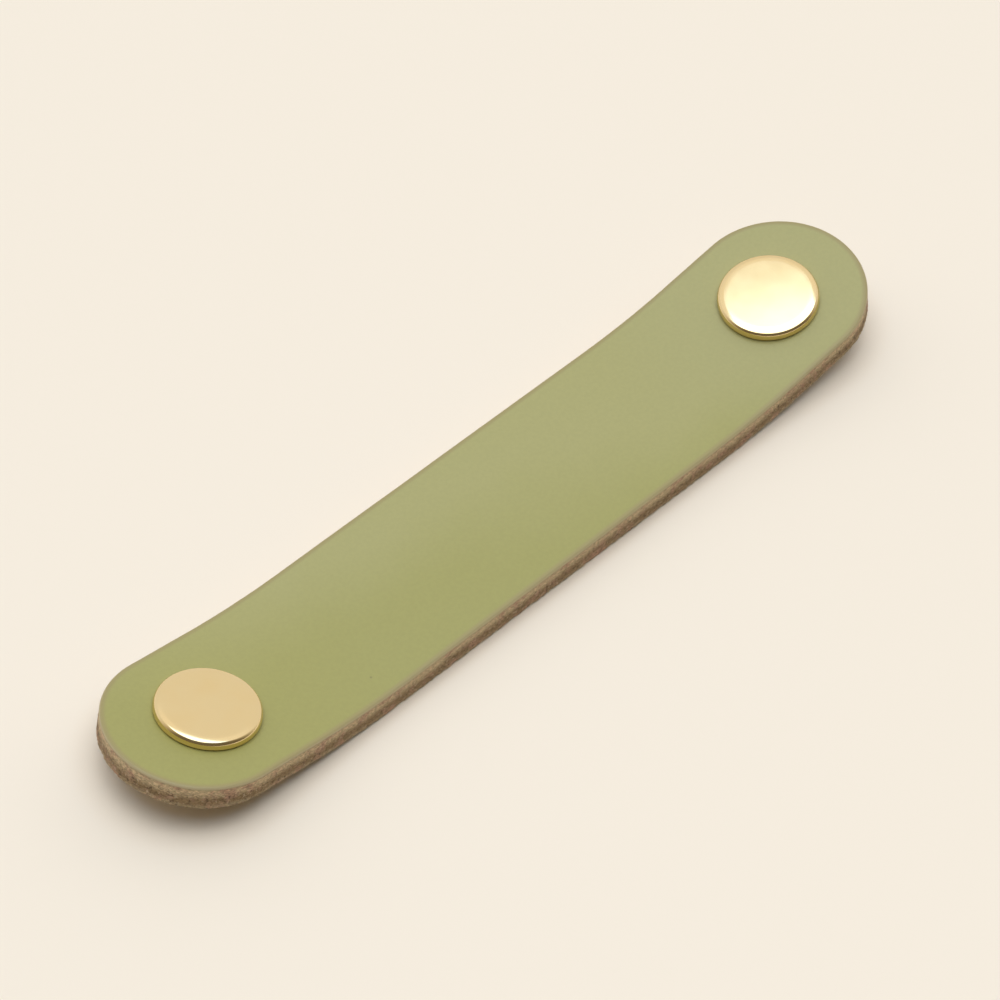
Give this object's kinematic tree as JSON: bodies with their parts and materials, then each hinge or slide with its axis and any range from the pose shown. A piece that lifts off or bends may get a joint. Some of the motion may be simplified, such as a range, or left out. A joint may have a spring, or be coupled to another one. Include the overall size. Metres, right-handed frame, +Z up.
{
  "type": "leather cabinet pull",
  "caption": "Thick green leather strap pull with round ends turned up and a polished flat brass cap nut through each end.",
  "frame": {"origin": "middle of the strap's flat back face, on the surface that the pull lies on", "axes": "+X along the strap towards the right cap nut, +Z up from the back face through the grain face"},
  "size_m": [0.1608, 0.0296, 0.0106],
  "materials": {
    "leather": "smooth green grain, raw tan and brown cut edge",
    "brass": "polished, pale gold"
  },
  "bodies": {
    "root": {"strap": "leather", "left_cap_nut": "brass", "right_cap_nut": "brass"}
  },
  "joints": []
}
